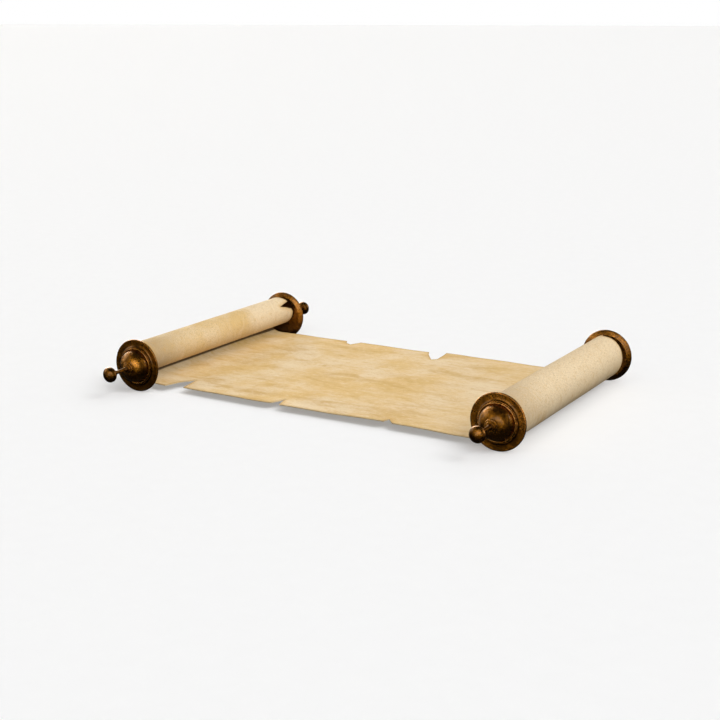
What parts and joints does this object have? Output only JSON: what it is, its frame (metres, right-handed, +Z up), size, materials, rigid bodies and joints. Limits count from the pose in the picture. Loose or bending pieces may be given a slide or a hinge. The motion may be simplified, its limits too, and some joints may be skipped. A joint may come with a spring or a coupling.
{
  "type": "two-roller parchment scroll",
  "caption": "Blank parchment scroll opened flat between rollers with turned antique-bronze flanges, domes and ball knobs; each roller rolls inwards to close it.",
  "frame": {"origin": "on the table, under the middle of the open scroll", "axes": "+X from the left roller to the right one, Y along the rollers with the front at -Y, +Z up"},
  "size_m": [0.422, 0.3412, 0.05],
  "materials": {
    "parchment": "matt, aged, fine fibre grain",
    "bronze": "dark antique patina, satin",
    "worn_bronze": "patina worn bright on the raised edges",
    "wood": "oiled",
    "steel": "plain"
  },
  "bodies": {
    "open_sheet": {"left_sheet": "parchment", "right_sheet": "parchment"},
    "left_wrap": {"left_outer_turn": "parchment"},
    "left_roller": {"left_core": "wood", "left_tie_rod": "steel", "left_winding": "parchment", "left_tacks": "steel", "left_front_flange": "bronze", "left_front_bead_ring": "worn_bronze", "left_front_dome": "bronze", "left_front_collar": "bronze", "left_front_knob": "bronze", "left_front_washer": "steel", "left_front_nut": "steel", "left_front_drive_pins": "steel", "left_back_flange": "bronze", "left_back_bead_ring": "worn_bronze", "left_back_dome": "bronze", "left_back_collar": "bronze", "left_back_knob": "bronze", "left_back_washer": "steel", "left_back_nut": "steel", "left_back_drive_pins": "steel"},
    "right_wrap": {"right_outer_turn": "parchment"},
    "right_roller": {"right_core": "wood", "right_tie_rod": "steel", "right_winding": "parchment", "right_tacks": "steel", "right_front_flange": "bronze", "right_front_bead_ring": "worn_bronze", "right_front_dome": "bronze", "right_front_collar": "bronze", "right_front_knob": "bronze", "right_front_washer": "steel", "right_front_nut": "steel", "right_front_drive_pins": "steel", "right_back_flange": "bronze", "right_back_bead_ring": "worn_bronze", "right_back_dome": "bronze", "right_back_collar": "bronze", "right_back_knob": "bronze", "right_back_washer": "steel", "right_back_nut": "steel", "right_back_drive_pins": "steel"}
  },
  "joints": [
    {"name": "left_travel", "type": "slide", "parent": "open_sheet", "child": "left_wrap", "axis": [1, 0, 0], "range_m": [0, 0.16], "deforming": ["left_sheet"]},
    {"name": "left_spin", "type": "hinge", "parent": "left_wrap", "child": "left_roller", "pos_m": [-0.186, 0, 0.025], "axis": [0, 1, 0], "range_deg": [0, 490]},
    {"name": "right_travel", "type": "slide", "parent": "open_sheet", "child": "right_wrap", "axis": [-1, 0, 0], "range_m": [0, 0.16], "deforming": ["right_sheet"]},
    {"name": "right_spin", "type": "hinge", "parent": "right_wrap", "child": "right_roller", "pos_m": [0.186, 0, 0.025], "axis": [0, -1, 0], "range_deg": [0, 490]}
  ],
  "couplings": [
    {"joint": "left_spin", "follows": "left_travel", "rad_per_m": 53.191},
    {"joint": "right_spin", "follows": "right_travel", "rad_per_m": 53.191}
  ]
}
